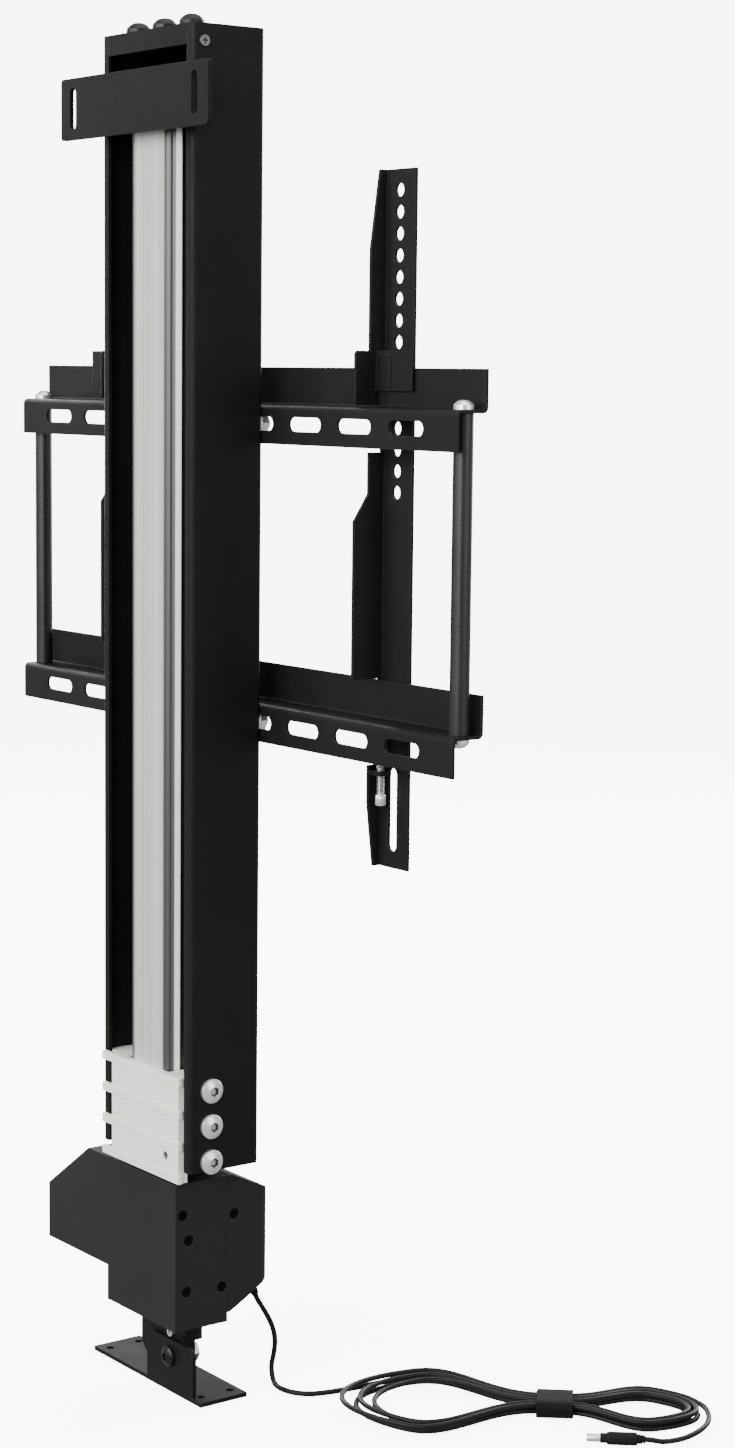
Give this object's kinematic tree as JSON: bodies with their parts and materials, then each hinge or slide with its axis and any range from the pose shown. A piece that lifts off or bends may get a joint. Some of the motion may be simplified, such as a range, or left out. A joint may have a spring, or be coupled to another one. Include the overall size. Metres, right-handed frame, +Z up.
{
  "type": "tv lift mechanism",
  "caption": "Floor-standing screw-driven television lift, lowered: aluminium guide column with a geared motor at its foot, a black sliding channel and a slotted television bracket.",
  "frame": {"origin": "on the floor, on the underside of the foot, under the lead screw's axis", "axes": "+Z up along the lead screw, +X along the television's width, +Y from the cabinet strip towards the television"},
  "size_m": [0.5166, 0.3005, 0.8985],
  "materials": {
    "profile_aluminium": "brushed, clear anodised",
    "block_alloy": "matte",
    "black_steel": "satin powder coat",
    "black_bolts": "black oxide",
    "zinc_steel": "zinc plated",
    "housing_plastic": "fine texture",
    "black_plastic": "matte",
    "pale_plastic": "matte acetal",
    "cable_black": "soft PVC"
  },
  "bodies": {
    "column": {"guide_profile": "profile_aluminium", "profile_plug": "black_plastic", "top_guide": "black_plastic", "cabinet_strip": "black_steel", "strip_spacer": "black_steel", "strip_screws": "zinc_steel", "gear_rear_shell": "housing_plastic", "gear_front_cover": "housing_plastic", "housing_screws": "black_bolts", "motor_can": "zinc_steel", "screw_bearing_lower": "zinc_steel", "screw_bearing_upper": "zinc_steel", "limit_switches": "black_plastic", "clevis_lug": "black_steel", "clevis_screws": "zinc_steel", "cable_gland": "black_plastic", "power_cable": "cable_black", "cable_hank": "cable_black", "cable_tie": "cable_black", "cable_plug": "black_plastic"},
    "carriage": {"outer_channel": "black_steel", "channel_cap": "black_plastic", "cap_bolts": "black_bolts", "cap_side_screws": "zinc_steel", "carriage_block": "block_alloy", "carriage_bolts": "zinc_steel", "glide_pads": "pale_plastic", "drive_nut": "pale_plastic", "nut_screws": "zinc_steel", "upper_rail": "black_steel", "lower_rail": "black_steel", "rail_bolts": "zinc_steel", "rail_nuts": "zinc_steel", "left_tube": "black_steel", "right_tube": "black_steel", "tube_screws": "zinc_steel"},
    "left_tv_arm": {"left_arm": "black_steel", "left_lock_screw": "zinc_steel"},
    "right_tv_arm": {"right_arm": "black_steel", "right_lock_screw": "zinc_steel"},
    "screw": {"lead_screw": "zinc_steel", "worm_wheel": "pale_plastic"},
    "rotor": {"motor_worm": "zinc_steel"},
    "foot": {"foot_bracket": "black_steel", "foot_pin": "black_bolts", "pin_nut": "zinc_steel"}
  },
  "joints": [
    {"name": "lift_slide", "type": "slide", "parent": "column", "child": "carriage", "axis": [0, 0, 1], "range_m": [0, 0.565]},
    {"name": "screw_spin", "type": "hinge", "parent": "column", "child": "screw", "pos_m": [0, 0, 0.1], "axis": [0, 0, 1], "range_deg": [0, 17000]},
    {"name": "motor_spin", "type": "hinge", "parent": "column", "child": "rotor", "pos_m": [0, 0.0165, 0.099], "axis": [1, 0, 0], "range_deg": [0, 407000]},
    {"name": "left_arm_slide", "type": "slide", "parent": "carriage", "child": "left_tv_arm", "axis": [1, 0, 0], "range_m": [-0.05, 0.05]},
    {"name": "right_arm_slide", "type": "slide", "parent": "carriage", "child": "right_tv_arm", "axis": [1, 0, 0], "range_m": [-0.05, 0.05]},
    {"name": "foot_tilt", "type": "hinge", "parent": "column", "child": "foot", "pos_m": [0, 0, 0.0245], "axis": [0, 1, 0], "range_deg": [-8, 8]}
  ],
  "couplings": [
    {"joint": "screw_spin", "follows": "lift_slide", "rad_per_m": 523.6},
    {"joint": "motor_spin", "follows": "lift_slide", "rad_per_m": 12566}
  ]
}
